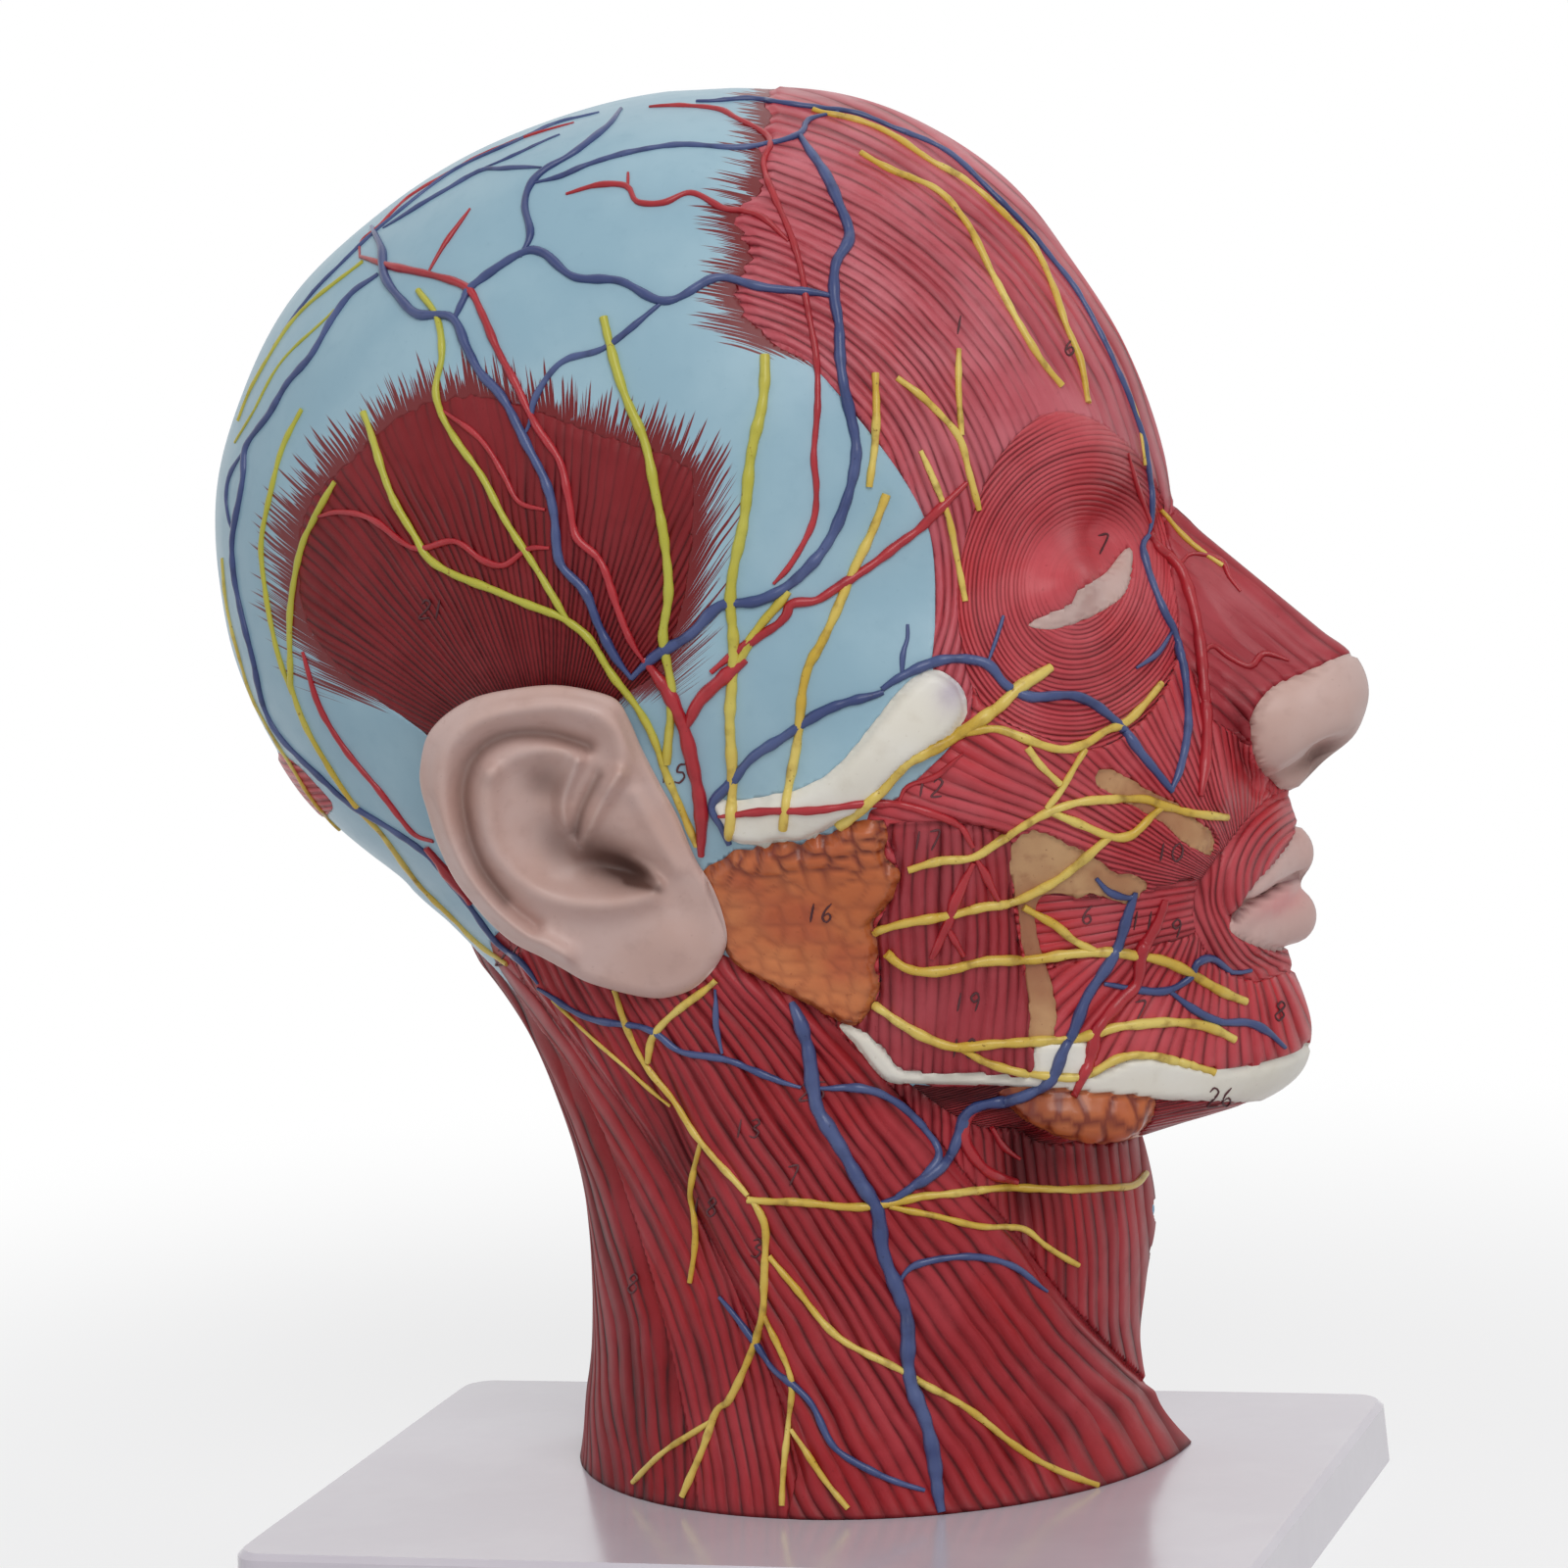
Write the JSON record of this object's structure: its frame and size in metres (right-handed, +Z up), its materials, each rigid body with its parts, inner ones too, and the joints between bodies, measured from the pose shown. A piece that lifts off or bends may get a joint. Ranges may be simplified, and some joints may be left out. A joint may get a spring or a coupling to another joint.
{
  "type": "anatomical head model",
  "caption": "Right half of a life-size head and neck with painted muscles, vessels and nerves in relief, cut at the middle plane and standing on a moulded board.",
  "frame": {"origin": "middle of the whole model's box on the underside of the board", "axes": "+X towards the face, +Y towards the cut side at the head's middle plane, +Z up"},
  "size_m": [0.2374, 0.1444, 0.2929],
  "materials": {
    "board": "smooth white moulded plastic, semi-gloss",
    "screw": "plain zinc-plated steel",
    "cast": "unpainted cream plastic",
    "bone": "cream paint under clear varnish",
    "brain": "pink-beige paint under clear varnish",
    "white_matter": "pale cream paint under clear varnish",
    "mucosa": "pink paint under clear varnish",
    "cartilage": "pale blue paint under clear varnish",
    "muscle": "streaked crimson paint under clear varnish",
    "dark_muscle": "streaked dark red paint under clear varnish",
    "aponeurosis": "streaked grey-blue paint under clear varnish",
    "fat": "tan paint under clear varnish",
    "gland": "orange-brown paint under clear varnish",
    "skin": "beige-pink paint, satin",
    "vein": "dark blue paint under clear varnish",
    "artery": "red paint under clear varnish",
    "nerve": "ochre paint under clear varnish"
  },
  "bodies": {
    "root": {"base_board": "board", "mounting_screws": "screw", "screw_washers": "screw", "neck_plug": "cast", "inner_cast": "cast", "corpus_callosum": "white_matter", "brain_stem": "white_matter", "cerebellum": "brain", "brain_half": "brain", "spinal_cord": "white_matter", "nasal_cavity_wall": "mucosa", "hard_palate": "bone", "soft_palate": "mucosa", "tongue": "mucosa", "mandible_section": "bone", "hyoid_bone": "bone", "epiglottis": "cartilage", "trachea": "cartilage", "oesophagus": "mucosa", "cervical_vertebrae": "bone", "intervertebral_discs": "cartilage", "nasal_conchae": "mucosa", "skull_section": "bone", "throat_section": "muscle", "eyelid": "skin", "zygomatic_arch": "bone", "parotid_gland": "gland", "mandible": "bone", "orbicularis_oculi_muscle": "muscle", "auricular_muscle": "dark_muscle", "frontalis_muscle": "muscle", "masseter_muscle": "muscle", "buccal_fat_pad": "fat", "cheek_muscles": "muscle", "orbicularis_oris_muscle": "muscle", "buccinator_muscle": "muscle", "chin_muscles": "muscle", "digastric_muscle": "muscle", "occipitalis_muscle": "muscle", "scalp_aponeurosis": "aponeurosis", "sternocleidomastoid_muscle": "dark_muscle", "trapezius_muscle": "dark_muscle", "deep_neck_muscles": "dark_muscle", "infrahyoid_muscles": "dark_muscle", "thyroid_cartilage": "cartilage", "submandibular_gland": "gland", "ear": "skin", "nose_tip": "skin", "nasalis_muscle": "muscle", "lips": "skin", "scalp_veins": "vein", "temporal_arteries": "artery", "auriculotemporal_nerves": "nerve", "occipital_nerves": "nerve", "supraorbital_nerves": "nerve", "facial_nerve_branches": "nerve", "facial_vein": "vein", "facial_arteries": "artery", "external_jugular_vein": "vein", "cervical_nerves": "nerve"}
  },
  "joints": []
}
